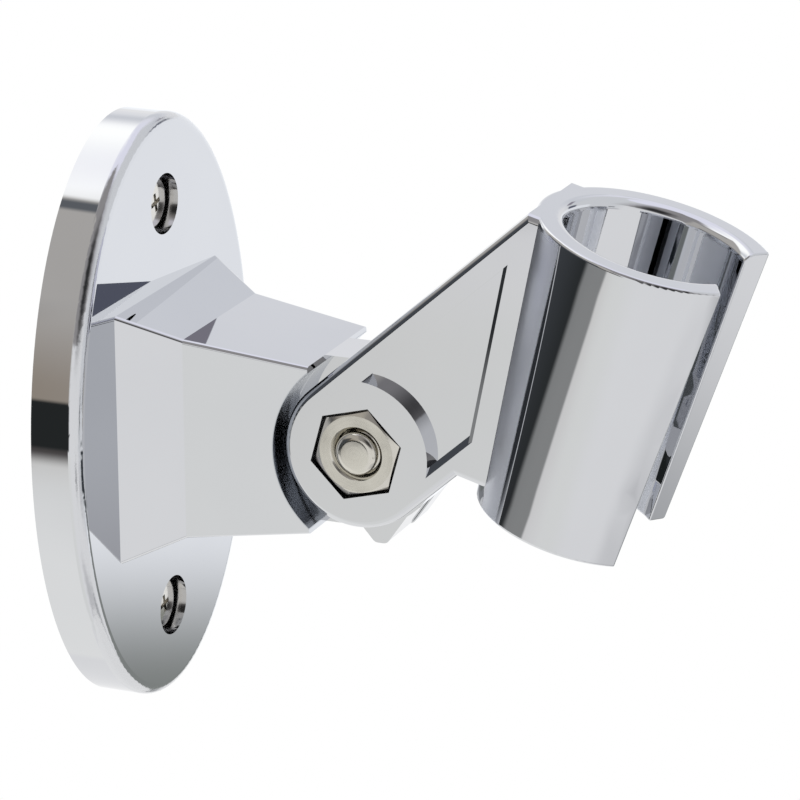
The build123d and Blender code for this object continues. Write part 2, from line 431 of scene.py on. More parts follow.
@dataclass(frozen=True)
class ChromeFinish:
    """Mirror chrome plating over a moulding, with the faint waviness of the moulding under it."""

    name: str
    patches: Sequence[Patch]
    reflectance: Colour = (0.636, 0.644, 0.666)
    dulled: Colour = (0.622, 0.630, 0.654)
    roughness: Span = (0.010, 0.024)
    cloud_scale: float = 60.0
    cloud_detail: float = 3.0
    dull_clouds: Span = (0.35, 0.7)
    rough_clouds: Span = (0.3, 0.7)
    wave_scale: float = 45.0
    wave_detail: float = 1.0
    wave_strength: float = 0.010
    wave_distance: float = 0.4 * MM

    def build(self) -> bpy.types.Material:
        """Make the material.

        Returns:
            The chrome material.
        """
        material, tree, shader = new_material(self.name)
        shader.inputs["Metallic"].default_value = 1.0
        clouds = object_noise(tree, self.cloud_scale, self.cloud_detail)
        dullness = map_range(tree, clouds, self.dull_clouds, (0.0, 1.0))
        colour = mix_colour(tree, dullness, self.reflectance, self.dulled)
        rough = map_range(tree, clouds, self.rough_clouds, self.roughness)
        for patch in self.patches:
            mask = patch.region.mask(tree)
            if patch.colour is not None:
                colour = mix_colour(tree, mask, colour, patch.colour)
            rough = math_node(tree, "MAXIMUM", rough, product(tree, mask, patch.roughness))
        tree.links.new(colour, shader.inputs["Base Color"])
        tree.links.new(rough, shader.inputs["Roughness"])
        waves = object_noise(tree, self.wave_scale, self.wave_detail)
        add_bump(tree, shader, waves, self.wave_strength, self.wave_distance)
        return material


@dataclass(frozen=True)
class SteelFinish:
    """Bright steel with faint cloudy wear and, round an axis, fine tool marks."""

    name: str
    colour: Colour
    worn: Colour
    roughness: Span
    centre: Point
    marks: Axis
    mark_share: float
    mark_scale: float = 620.0
    mark_distortion: float = 3.0
    mark_detail: float = 3.0
    wear_scale: float = 260.0
    wear_detail: float = 4.0
    wear_clouds: Span = (0.4, 0.75)
    bump_strength: float = 0.03
    bump_distance: float = 0.02 * MM

    def build(self) -> bpy.types.Material:
        """Make the material.

        Returns:
            The steel material.
        """
        material, tree, shader = new_material(self.name)
        shader.inputs["Metallic"].default_value = 1.0
        coords = tree.nodes.new("ShaderNodeTexCoord")
        mapping = tree.nodes.new("ShaderNodeMapping")
        mapping.inputs["Location"].default_value = tuple(-value for value in self.centre)
        rings = tree.nodes.new("ShaderNodeTexWave")
        rings.wave_type = "RINGS"
        rings.rings_direction = self.marks.name
        rings.inputs["Scale"].default_value = self.mark_scale
        rings.inputs["Distortion"].default_value = self.mark_distortion
        rings.inputs["Detail"].default_value = self.mark_detail
        tree.links.new(coords.outputs["Object"], mapping.inputs["Vector"])
        tree.links.new(mapping.outputs["Vector"], rings.inputs["Vector"])
        marks = product(tree, rings.outputs["Fac"], self.mark_share)
        clouds = object_noise(tree, self.wear_scale, self.wear_detail)
        wear = map_range(tree, clouds, self.wear_clouds, (0.0, 1.0 - self.mark_share))
        share = math_node(tree, "ADD", marks, wear)
        tree.links.new(mix_colour(tree, share, self.colour, self.worn), shader.inputs["Base Color"])
        tree.links.new(map_range(tree, share, (0.0, 1.0), self.roughness), shader.inputs["Roughness"])
        add_bump(tree, shader, clouds, self.bump_strength, self.bump_distance)
        return material


@dataclass(frozen=True)
class WasherPlasticFinish:
    """Thin low-friction plastic sheet, slightly cloudy."""

    name: str = Slot.WASHER.value
    colour: Colour = (0.80, 0.80, 0.77)
    worn: Colour = (0.68, 0.68, 0.66)
    roughness: Span = (0.35, 0.5)
    cloud_scale: float = 260.0
    cloud_detail: float = 5.0
    worn_clouds: Span = (0.45, 0.75)
    rough_clouds: Span = (0.3, 0.7)
    bump_strength: float = 0.2
    bump_distance: float = 0.02 * MM

    def build(self) -> bpy.types.Material:
        """Make the material.

        Returns:
            The washer plastic.
        """
        material, tree, shader = new_material(self.name)
        clouds = object_noise(tree, self.cloud_scale, self.cloud_detail)
        share = map_range(tree, clouds, self.worn_clouds, (0.0, 1.0))
        rough = map_range(tree, clouds, self.rough_clouds, self.roughness)
        tree.links.new(mix_colour(tree, share, self.colour, self.worn), shader.inputs["Base Color"])
        tree.links.new(rough, shader.inputs["Roughness"])
        add_bump(tree, shader, clouds, self.bump_strength, self.bump_distance)
        return material


def dress_node(node: bpy.types.Object, material: bpy.types.Material) -> None:
    """Give a node of the frame its finish.

    Args:
        node: Object of the node.
        material: Finish for all its faces.
    """
    if not node.material_slots:
        node.data.materials.append(material)
    for slot in node.material_slots:
        slot.link = "OBJECT"
        slot.material = material
    LOG.info("%s dressed in %s", node.name, material.name)


@dataclass
class WallBracket:
    """Oval plate, tapered block and tongue in one chromed moulding."""

    node: str = "wall_bracket"
    screw_height: float = 26.65 * MM
    counterbore_radius: float = 4.1 * MM
    counterbore_floor: float = 2.5 * MM
    plating_depth: float = 5.9 * MM
    thin_plating: Colour = (0.64, 0.64, 0.65)
    thin_roughness: float = 0.16
    socket_axis: Point = (38.6 * MM, 0.0, 0.0)
    socket_radius: float = 13.42 * MM
    socket_sides: Tuple[Span, Span] = ((-12.0 * MM, -4.0 * MM), (4.0 * MM, 12.0 * MM))
    # Painted shade: the cheeks' sockets are coloured dark blue-grey, darker than the chrome, for the shade
    # that falls in them.
    socket_painted_shade: Colour = (0.27, 0.30, 0.34)
    socket_roughness: float = 0.26
    half_width: float = 25.2 * MM
    half_height: float = 38.0 * MM
    edge_share: float = 0.968
    edge_low: float = 5.65 * MM
    edge_roughness: float = 0.15

    def finish(self) -> ChromeFinish:
        """Chrome that thins out in the counterbores, with painted shade in the cheeks' sockets and a softer
        front edge.

        Returns:
            The bracket's finish.
        """
        hole = DeepHole(Axis.X, (0.0, 0.0, self.screw_height), self.counterbore_radius,
                        self.counterbore_floor, self.plating_depth, mirrored=True)
        patches = [Patch(hole, self.thin_roughness, self.thin_plating)]
        for low, high in self.socket_sides:
            socket = DeepHole(Axis.Y, self.socket_axis, self.socket_radius, low, high)
            # Painted shade: the sockets' patch darkens the chrome.
            patches.append(Patch(socket, self.socket_roughness, self.socket_painted_shade))
        edge = OvalEdge(self.half_width, self.half_height, self.edge_share, self.edge_low)
        patches.append(Patch(edge, self.edge_roughness))
        return ChromeFinish(Slot.CHROME.value + "_bracket", patches)

    def dress(self, nodes: Nodes) -> None:
        """Give the moulding its chrome."""
        dress_node(nodes[self.node], self.finish().build())


@dataclass
class HolderArm:
    """Fork and conical cup in one chromed moulding, with the nut's recess in its near cheek."""

    node: str = "holder_arm"
    pivot: Point = (35.5 * MM, 0.0, 0.0)
    recess_radius: float = 6.7 * MM
    recess_floor: float = -5.3 * MM
    recess_rim: float = -7.75 * MM
    # Painted shade: a near-black colour in the nut's recess, for the shade that falls in it.
    recess_painted_shade: Colour = (0.035, 0.036, 0.040)
    recess_shade_roughness: float = 0.42
    bore_reach: float = 11.7 * MM
    bore_top: float = 36.0 * MM
    # Bands of the bore that get the brighter satin colour: painted light.
    painted_light_angles: Tuple[Span, Span] = ((53.0, 76.0), (142.5, 150.5))
    half_arm: float = 8.12 * MM
    corner_angles: Span = (122.6, 181.0)
    corner_reach: float = 16.0 * MM
    rim_foot: float = 36.7 * MM
    # Painted light: this satin colour is brighter than the chrome, standing in for reflected light in the
    # cup's corners and bore bands.
    satin_painted_light: Colour = (0.86, 0.88, 0.93)
    satin_roughness: float = 0.36

    def finish(self) -> ChromeFinish:
        """Chrome with painted shade, near black and rough, in the nut's recess, and a satin gloss with a
        brighter painted-light colour in the cup's corners and in bands of the bore.

        Returns:
            The arm's finish.
        """
        recess = DeepHole(Axis.Y, self.pivot, self.recess_radius, self.recess_rim, self.recess_floor)
        sectors = [CupSector(self.corner_angles, self.bore_reach, self.corner_reach,
                             self.half_arm, self.rim_foot)]
        sectors += [CupSector(angles, 0.0, self.bore_reach, 0.0, self.bore_top)
                    for angles in self.painted_light_angles]
        # Painted shade in the nut's recess.
        patches = [Patch(recess, self.recess_shade_roughness, self.recess_painted_shade)]
        # Painted light: the cup's corners and bore bands get the brighter satin colour.
        patches += [Patch(sector, self.satin_roughness, self.satin_painted_light) for sector in sectors]
        return ChromeFinish(Slot.CHROME.value + "_arm", patches)

    def dress(self, nodes: Nodes) -> None:
        """Give the moulding its chrome."""
        dress_node(nodes[self.node], self.finish().build())


@dataclass
class FrictionWashers:
    """Thin plastic washers between the tongue and the cheeks."""

    names: Tuple[str, str] = ("near_friction_washer", "far_friction_washer")

    def dress(self, nodes: Nodes) -> None:
        """Give both washers their plastic.

        Args:
            nodes: Objects of the frame's nodes, by name.
        """
        plastic = WasherPlasticFinish().build()
        for name in self.names:
            dress_node(nodes[name], plastic)


@dataclass
class FastenerTree:
    """Geometry Nodes that thread a turned blank, sink its drive recess and repeat it along a line.

    The blank stands upright, its head at the top. All sizes are inputs of the tree.
    """

    name: str
    drive: Drive
    flank: Span = (0.15, 0.8)
    least_radius: float = 0.01 * MM
    crisp_angle: float = 0.6
    inputs: Dict[str, str] = field(default_factory=dict)

    def declare(self, tree: Tree) -> None:
        """Add the tree's inputs and output, and keep the inputs' identifiers.

        Args:
            tree: Tree that gets them.
        """
        kinds = {
            "NodeSocketFloat": ("Pitch", "Thread Start", "Thread End", "Thread Depth", "Head Top",
                                "Drive Length", "Drive Width", "Drive Depth", "Drive Turn"),
            "NodeSocketInt": ("Count",),
            "NodeSocketVector": ("First Place", "Step", "Turn"),
            "NodeSocketMaterial": ("Finish",),
        }
        tree.interface.new_socket(name="Geometry", in_out="INPUT", socket_type="NodeSocketGeometry")
        for kind, labels in kinds.items():
            for label in labels:
                item = tree.interface.new_socket(name=label, in_out="INPUT", socket_type=kind)
                self.inputs[label] = item.identifier
        tree.interface.new_socket(name="Geometry", in_out="OUTPUT", socket_type="NodeSocketGeometry")

    def thread(self, tree: Tree, start: bpy.types.Node) -> Socket:
        """Raise a helical ridge on the shank.

        Args:
            tree: Tree that gets the nodes.
            start: Group Input node.

        Returns:
            Geometry socket of the threaded blank.
        """
        position = tree.nodes.new("GeometryNodeInputPosition")
        parts = tree.nodes.new("ShaderNodeSeparateXYZ")
        tree.links.new(position.outputs[0], parts.inputs[0])
        x, y, z = parts.outputs
        lead = math_node(tree, "DIVIDE", math_node(tree, "ARCTAN2", y, x), 2.0 * math.pi)
        turns = math_node(tree, "DIVIDE", z, start.outputs["Pitch"])
        phase = math_node(tree, "FRACT", math_node(tree, "SUBTRACT", turns, lead))
        fold = math_node(tree, "ABSOLUTE", math_node(tree, "SUBTRACT", product(tree, phase, 2.0), 1.0))
        above = math_node(tree, "GREATER_THAN", z, start.outputs["Thread Start"])
        below = math_node(tree, "LESS_THAN", z, start.outputs["Thread End"])
        ridge = product(tree, map_range(tree, fold, self.flank, (0.0, 1.0)), above, below)
        rise = product(tree, ridge, start.outputs["Thread Depth"])
        reach = math_node(tree, "MAXIMUM", hypotenuse(tree, x, y), self.least_radius)
        scale = math_node(tree, "DIVIDE", rise, reach)
        offset = tree.nodes.new("ShaderNodeCombineXYZ")
        for place, part in enumerate((x, y)):
            tree.links.new(product(tree, part, scale), offset.inputs[place])
        move = tree.nodes.new("GeometryNodeSetPosition")
        tree.links.new(start.outputs["Geometry"], move.inputs["Geometry"])
        tree.links.new(offset.outputs[0], move.inputs["Offset"])
        return move.outputs[0]

    def drive_shapes(self, tree: Tree, start: bpy.types.Node) -> List[Socket]:
        """Make the shapes of the drive recess, round the origin.

        Args:
            tree: Tree that gets the nodes.
            start: Group Input node.

        Returns:
            Geometry sockets of the shapes.
        """
        depth = product(tree, start.outputs["Drive Depth"], 2.0)
        if self.drive is Drive.HEXAGON:
            prism = tree.nodes.new("GeometryNodeMeshCylinder")
            prism.inputs["Vertices"].default_value = 6
            radius = math_node(tree, "DIVIDE", start.outputs["Drive Length"], math.sqrt(3.0))
            tree.links.new(radius, prism.inputs["Radius"])
            tree.links.new(depth, prism.inputs["Depth"])
            return [prism.outputs["Mesh"]]
        bars: List[Socket] = []
        for along, across in ((0, 1), (1, 0)):
            size = tree.nodes.new("ShaderNodeCombineXYZ")
            tree.links.new(start.outputs["Drive Length"], size.inputs[along])
            tree.links.new(start.outputs["Drive Width"], size.inputs[across])
            tree.links.new(depth, size.inputs[2])
            bar = tree.nodes.new("GeometryNodeMeshCube")
            tree.links.new(size.outputs[0], bar.inputs["Size"])
            bars.append(bar.outputs["Mesh"])
        return bars

    def sink_drive(self, tree: Tree, start: bpy.types.Node, blank: Socket) -> Socket:
        """Cut the drive recess into the head.

        Args:
            tree: Tree that gets the nodes.
            start: Group Input node.
            blank: Geometry socket of the threaded blank.

        Returns:
            Geometry socket of the cut blank.
        """
        place = tree.nodes.new("ShaderNodeCombineXYZ")
        tree.links.new(start.outputs["Head Top"], place.inputs[2])
        spin = tree.nodes.new("ShaderNodeCombineXYZ")
        tree.links.new(start.outputs["Drive Turn"], spin.inputs[2])
        cut = tree.nodes.new("GeometryNodeMeshBoolean")
        cut.operation = "DIFFERENCE"
        tree.links.new(blank, cut.inputs["Mesh 1"])
        for shape in self.drive_shapes(tree, start):
            lift = tree.nodes.new("GeometryNodeTransform")
            tree.links.new(shape, lift.inputs["Geometry"])
            tree.links.new(place.outputs[0], lift.inputs["Translation"])
            tree.links.new(spin.outputs[0], lift.inputs["Rotation"])
            tree.links.new(lift.outputs[0], cut.inputs["Mesh 2"])
        return cut.outputs["Mesh"]

    def shade(self, tree: Tree, blank: Socket) -> Socket:
        """Shade a blank smooth, with crisp sharp edges.

        Args:
            tree: Tree that gets the nodes.
            blank: Geometry socket of the blank.

        Returns:
            Geometry socket of the shaded blank.
        """
        smooth = tree.nodes.new("GeometryNodeSetShadeSmooth")
        tree.links.new(blank, smooth.inputs["Geometry"])
        bend = tree.nodes.new("GeometryNodeInputMeshEdgeAngle")
        sharp = math_node(tree, "GREATER_THAN", bend.outputs["Unsigned Angle"], self.crisp_angle)
        crisp = tree.nodes.new("GeometryNodeSetShadeSmooth")
        crisp.domain = "EDGE"
        crisp.inputs["Shade Smooth"].default_value = False
        tree.links.new(smooth.outputs[0], crisp.inputs["Geometry"])
        tree.links.new(sharp, crisp.inputs["Selection"])
        return crisp.outputs[0]

    def repeat(self, tree: Tree, start: bpy.types.Node, blank: Socket) -> Socket:
        """Put copies of a finished blank along a line and give them their material.

        Args:
            tree: Tree that gets the nodes.
            start: Group Input node.
            blank: Geometry socket of the finished blank.

        Returns:
            Geometry socket of the fasteners.
        """
        line = tree.nodes.new("GeometryNodeMeshLine")
        for label, socket in (("Count", "Count"), ("First Place", "Start Location"), ("Step", "Offset")):
            tree.links.new(start.outputs[label], line.inputs[socket])
        copies = tree.nodes.new("GeometryNodeInstanceOnPoints")
        tree.links.new(line.outputs["Mesh"], copies.inputs["Points"])
        tree.links.new(blank, copies.inputs["Instance"])
        tree.links.new(start.outputs["Turn"], copies.inputs["Rotation"])
        real = tree.nodes.new("GeometryNodeRealizeInstances")
        tree.links.new(copies.outputs[0], real.inputs[0])
        coat = tree.nodes.new("GeometryNodeSetMaterial")
        tree.links.new(real.outputs[0], coat.inputs["Geometry"])
        tree.links.new(start.outputs["Finish"], coat.inputs["Material"])
        return coat.outputs[0]

    def build(self) -> Tree:
        """Make the tree.

        Returns:
            The node group, which ends in Realize Instances and Set Material.
        """
        tree = bpy.data.node_groups.new(self.name, "GeometryNodeTree")
        self.declare(tree)
        start = tree.nodes.new("NodeGroupInput")
        blank = self.sink_drive(tree, start, self.thread(tree, start))
        end = tree.nodes.new("NodeGroupOutput")
        tree.links.new(self.repeat(tree, start, self.shade(tree, blank)), end.inputs[0])
        return tree

    def make(self, name: str, blank: bpy.types.Mesh, values: Dict[str, Any]) -> bpy.types.Object:
        """Run the tree on a blank and keep its result as a plain mesh.

        Args:
            name: Name of the piece.
            blank: Turned blank, upright.
            values: Value of each named input.

        Returns:
            The finished piece at the origin.
        """
        tree = self.build()
        holder = bpy.data.objects.new(name + "_blank", blank)
        bpy.context.collection.objects.link(holder)
        modifier = holder.modifiers.new("fastener", "NODES")
        modifier.node_group = tree
        for label, value in values.items():
            modifier[self.inputs[label]] = value
        graph = bpy.context.evaluated_depsgraph_get()
        mesh = bpy.data.meshes.new_from_object(holder.evaluated_get(graph), depsgraph=graph)
        mesh.name = name
        holder.modifiers.remove(modifier)
        bpy.data.objects.remove(holder)
        piece = bpy.data.objects.new(name, mesh)
        bpy.context.collection.objects.link(piece)
        LOG.info("%s has %d faces", name, len(mesh.polygons))
        return piece


def turned_blank(name: str, profile: Profile, segments: int) -> bpy.types.Mesh:
    """Turn a profile round the upright axis.

    Args:
        name: Name of the mesh.
        profile: Radius and height of each ring, from the foot to the top, both ends on the axis.
        segments: Faces round the axis.

    Returns:
        A closed mesh whose faces point outwards.
    """
    mesh = bpy.data.meshes.new(name)
    shape = bmesh.new()
    foot = shape.verts.new((0.0, 0.0, profile[0][1]))
    top = shape.verts.new((0.0, 0.0, profile[-1][1]))
    angles = [2.0 * math.pi * step / segments for step in range(segments)]
    rings = []
    for radius, height in profile[1:-1]:
        rings.append([shape.verts.new((radius * math.cos(angle), radius * math.sin(angle), height))
                      for angle in angles])
    for step in range(segments):
        after = (step + 1) % segments
        shape.faces.new((foot, rings[0][after], rings[0][step]))
        for lower, upper in zip(rings, rings[1:]):
            shape.faces.new((lower[step], lower[after], upper[after], upper[step]))
        shape.faces.new((rings[-1][step], rings[-1][after], top))
    bmesh.ops.recalc_face_normals(shape, faces=shape.faces)
    shape.to_mesh(mesh)
    shape.free()
    return mesh


def straight(start: Tuple[float, float], end: Tuple[float, float], pitch: float) -> Profile:
    """Points along a straight run of a profile, without its last one.

    Args:
        start: Radius and height of the first point.
        end: Radius and height of the end.
        pitch: Greatest distance between points.

    Returns:
        The run's points.
    """
    run, rise = end[0] - start[0], end[1] - start[1]
    count = max(1, math.ceil(math.hypot(run, rise) / pitch))
    return [(start[0] + run * step / count, start[1] + rise * step / count) for step in range(count)]


def crown(rim: Tuple[float, float], top: float, flat: float, steps: int) -> Profile:
    """Points over a rounded end, from its rim to the axis.

    Args:
        rim: Radius and height where the rounding starts.
        top: Height at the axis.
        flat: Radius at which the rounding ends.
        steps: Points of the rounding.

    Returns:
        The rounding's points and the point on the axis.
    """
    rise = top - rim[1]
    points = []
    for step in range(steps + 1):
        angle = 0.5 * math.pi * step / steps
        points.append((flat + (rim[0] - flat) * math.cos(angle), rim[1] + rise * math.sin(angle)))
    if flat <= 0.0:
        points.pop()
    points.append((0.0, top))
    return points


@dataclass
class WallScrews:
    """Two pan-head wall screws with a cross recess and a coarse thread."""

    names: Tuple[str, str] = ("upper_wall_screw", "lower_wall_screw")
    height: float = 26.65 * MM
    seat: float = 2.9 * MM
    head_radius: float = 3.2 * MM
    head_edge: float = 0.1 * MM
    head_rim: float = 5.0 * MM
    head_top: float = 5.25 * MM
    neck_radius: float = 1.4 * MM
    thread_radius: float = 1.75 * MM
    thread_top: float = -0.3 * MM
    thread_foot: float = -3.9 * MM
    thread_runout: float = 0.6 * MM
    thread_depth: float = 0.42 * MM
    pitch: float = 1.25 * MM
    tip: float = -6.08 * MM
    tip_radius: float = 0.08 * MM
    tip_height: float = 0.05 * MM
    drive_length: float = 2.4 * MM
    drive_width: float = 0.6 * MM
    drive_depth: float = 0.6 * MM
    drive_turn: float = math.radians(12.0)
    thread_step: float = 0.09 * MM
    neck_step: float = 1.0 * MM
    crown_steps: int = 12
    segments: int = 48
    finish: SteelFinish = SteelFinish(Slot.NICKEL.value, (0.66, 0.64, 0.60), (0.58, 0.56, 0.52),
                                      (0.10, 0.18), (0.0, 0.0, 0.0), Axis.X, mark_share=0.05)

    def profile(self) -> Profile:
        """Turned profile from the tip to the head's crown.

        Returns:
            Radius and height of each point.
        """
        core = self.thread_radius - self.thread_depth
        taper = (self.tip_radius, self.tip + self.tip_height)
        neck = self.neck_radius
        points: Profile = [(0.0, self.tip)]
        points += straight(taper, (core, self.thread_foot), self.thread_step)
        points += straight((core, self.thread_foot), (core, self.thread_top), self.thread_step)
        points += straight((neck, self.thread_top), (neck, self.seat), self.neck_step)
        points += [(neck, self.seat), (self.head_radius - self.head_edge, self.seat)]
        points += [(self.head_radius, self.seat + self.head_edge)]
        points += crown((self.head_radius, self.head_rim), self.head_top, 0.0, self.crown_steps)
        return points

    def build(self, material: bpy.types.Material) -> bpy.types.Object:
        """Make both screws as one mesh.

        Args:
            material: Finish of the screws.

        Returns:
            The pair of screws.
        """
        blank = turned_blank("wall_screw_blank", self.profile(), self.segments)
        return FastenerTree("wall_screw_nodes", Drive.CROSS).make("wall_screws", blank, {
            "Pitch": self.pitch, "Thread Start": self.tip + self.thread_runout,
            "Thread End": self.thread_top, "Thread Depth": self.thread_depth, "Head Top": self.head_top,
            "Drive Length": self.drive_length, "Drive Width": self.drive_width,
            "Drive Depth": self.drive_depth, "Drive Turn": self.drive_turn, "Count": len(self.names),
            "First Place": (0.0, 0.0, self.height), "Step": (0.0, 0.0, -2.0 * self.height),
            "Turn": (0.0, math.radians(90.0), 0.0), "Finish": material,
        })

    def dress(self) -> None:
        """Build the screws, put them on the bracket and let them stand for the plain ones."""
        piece = self.build(self.finish.build())
        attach(piece, Body.BRACKET.value)
        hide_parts(*self.names)


@dataclass
class PivotFastening:
    """Bolt with a crowned end and a button head, and the hexagon nut on it."""

    bolt: str = "pivot_bolt"
    nut: str = "pivot_nut"
    pivot: Point = (35.5 * MM, 0.0, 0.0)
    end: float = -8.48 * MM
    end_radius: float = 2.74 * MM
    end_flat: float = 1.75 * MM
    end_rounding: float = 0.75 * MM
    thread_foot: float = -7.05 * MM
    thread_top: float = -1.0 * MM
    thread_depth: float = 0.36 * MM
    pitch: float = 1.0 * MM
    shank_radius: float = 2.98 * MM
    seat: float = 5.17 * MM
    head_radius: float = 5.23 * MM
    head_edge: float = 0.15 * MM
    head_rim: float = 5.95 * MM
    head_top: float = 8.43 * MM
    head_flat: float = 2.8 * MM
    socket_width: float = 4.0 * MM
    socket_depth: float = 2.0 * MM
    thread_step: float = 0.1 * MM
    end_step: float = 1.0 * MM
    end_steps: int = 10
    head_steps: int = 12
    segments: int = 72

    def finish(self) -> SteelFinish:
        """Stainless steel with turning marks round the pivot."""
        return SteelFinish(Slot.STAINLESS.value, (0.62, 0.60, 0.55), (0.56, 0.54, 0.49), (0.10, 0.20),
                           self.pivot, Axis.Y, mark_share=0.12)

    def profile(self) -> Profile:
        """Turned profile from the crowned end to the head.

        Returns:
            Radius and height of each point.
        """
        core = self.shank_radius - self.thread_depth
        rim = (self.end_radius, self.end + self.end_rounding)
        points = crown(rim, self.end, self.end_flat, self.end_steps)[::-1]
        points += straight(rim, (self.end_radius, self.thread_foot), self.end_step)[1:]
        points += straight((core, self.thread_foot), (core, self.thread_top), self.thread_step)
        points += [(self.shank_radius, self.thread_top), (self.shank_radius, self.seat)]
        points += [(self.head_radius - self.head_edge, self.seat)]
        points += [(self.head_radius, self.seat + self.head_edge)]
        points += crown((self.head_radius, self.head_rim), self.head_top, self.head_flat, self.head_steps)
        return points

    def build(self, material: bpy.types.Material) -> bpy.types.Object:
        """Make the bolt.

        Args:
            material: Finish of the bolt.

        Returns:
            The bolt along the pivot.
        """
        blank = turned_blank("pivot_bolt_blank", self.profile(), self.segments)
        return FastenerTree("pivot_bolt_nodes", Drive.HEXAGON).make("crowned_pivot_bolt", blank, {
            "Pitch": self.pitch, "Thread Start": self.thread_foot, "Thread End": self.thread_top,
            "Thread Depth": self.thread_depth, "Head Top": self.head_top,
            "Drive Length": self.socket_width, "Drive Width": self.socket_width,
            "Drive Depth": self.socket_depth, "Drive Turn": 0.0, "Count": 1,
            "First Place": self.pivot, "Step": (0.0, 0.0, 0.0),
            "Turn": (math.radians(-90.0), 0.0, 0.0), "Finish": material,
        })

    def dress(self, nodes: Nodes) -> None:
        """Build the bolt in place of the plain one and give the nut its steel.

        Args:
            nodes: Objects of the frame's nodes, by name.
        """
        stainless = self.finish().build()
        piece = self.build(stainless)
        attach(piece, Body.ARM.value)
        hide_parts(self.bolt)
        dress_node(nodes[self.nut], stainless)


@dataclass(frozen=True)
class Panel:
    """A soft-edged patch of the surroundings, by the angles it is seen at from the object.

    Azimuth 0 lies towards -Y and 90 towards +X. All angles are in degrees.
    """

    name: str
    azimuth: float
    half_width: float
    low: float
    high: float
    colour: Colour
    side_blur: float
    edge_blur: float

    def mask(self, tree: Tree, azimuth: Socket, elevation: Socket) -> Socket:
        """Make the mask's nodes.

        Args:
            tree: World's node tree.
            azimuth: Azimuth of the ray.
            elevation: Elevation of the ray.

        Returns:
            Socket that is 1 inside the panel and 0 outside.
        """
        offset = math_node(tree, "SUBTRACT", azimuth, self.azimuth)
        side = math_node(tree, "ABSOLUTE", math_node(tree, "WRAP", offset, 180.0, -180.0))
        return product(
            tree,
            short_of(tree, side, self.half_width, self.side_blur, smooth=True),
            past(tree, elevation, self.low, self.edge_blur, smooth=True),
            short_of(tree, elevation, self.high, self.edge_blur, smooth=True),
        )


# Later panels cover earlier ones. Most of these numbers were fitted to the photograph by a search program
PANELS = (
    Panel("ceiling", 0.0, 400.0, 33.8, 200.0, (1.075, 1.073, 1.202), 1.0, 29.7),
    Panel("right_wall", 116.9, 45.1, -26.4, 55.9, (0.862, 0.876, 0.896), 9.3, 2.0),
    Panel("low_right", 71.1, 41.7, -89.5, -42.8, (0.720, 0.720, 0.730), 18.7, 3.0),
    Panel("front_low", -19.6, 13.2, -88.8, -16.8, (0.962, 0.968, 0.943), 12.7, 0.8),
    Panel("left_low", -68.0, 35.4, -66.3, -27.9, (1.064, 1.066, 1.043), 5.7, 1.6),
    Panel("back_low", 135.8, 53.6, -96.2, -41.2, (0.400, 0.410, 0.420), 6.0, 3.0),
    Panel("left_high", -85.5, 63.2, 12.5, 66.7, (1.558, 1.559, 1.510), 8.8, 17.5),
    Panel("back_wall", -156.9, 60.1, 22.2, 34.6, (0.822, 0.842, 0.888), 7.3, 8.0),
    Panel("back_horizon", 165.1, 48.8, -26.2, 6.6, (1.087, 1.106, 1.137), 3.0, 1.5),
    Panel("front_wall", 14.7, 56.7, 12.1, 83.5, (0.370, 0.357, 0.358), 21.1, 1.1),
    Panel("camera_shade", 33.8, 20.4, 12.2, 47.0, (0.041, 0.041, 0.042), 13.9, 12.4),
    Panel("left_wall", -60.0, 48.2, -4.8, 56.0, (0.570, 0.547, 0.516), 4.1, 1.0),
    Panel("left_wall_low", -54.4, 29.2, -12.7, 8.0, (0.226, 0.146, 0.066), 9.0, 15.4),
    Panel("left_wall_trim", -56.0, 30.0, 51.9, 55.2, (0.150, 0.160, 0.175), 5.0, 0.9),
    Panel("left_band", -57.8, 29.3, -20.2, -13.9, (0.324, 0.328, 0.323), 0.4, 0.4),
    Panel("left_band_end", -28.9, 2.9, -17.9, -13.5, (0.090, 0.082, 0.080), 0.4, 2.0),
    Panel("left_gap", -50.7, 40.2, -15.4, -3.9, (0.025, 0.028, 0.028), 3.3, 0.6),
    Panel("left_gap_high", -62.2, 33.4, -11.3, 17.0, (0.079, 0.086, 0.098), 1.5, 6.8),
    Panel("back_floor", 150.6, 19.8, -53.4, -21.0, (0.301, 0.317, 0.303), 2.2, 1.2),
    Panel("right_slot", 115.1, 21.0, -22.0, -17.7, (0.045, 0.054, 0.060), 7.8, 1.0),
    Panel("front_slot", 46.2, 8.0, -23.1, -20.2, (0.031, 0.034, 0.045), 0.6, 0.8),
    Panel("back_slot", 150.0, 8.0, 6.0, 13.5, (0.150, 0.160, 0.210), 2.0, 1.2),
    Panel("roof_slot", 160.0, 4.5, 18.5, 27.0, (0.360, 0.340, 0.390), 1.5, 1.5),
    Panel("right_shade", 81.3, 4.6, -13.9, -9.4, (0.050, 0.055, 0.060), 0.8, 0.6),
    Panel("right_low", 80.0, 10.0, -26.0, -19.8, (0.680, 0.680, 0.700), 3.0, 1.3),
)


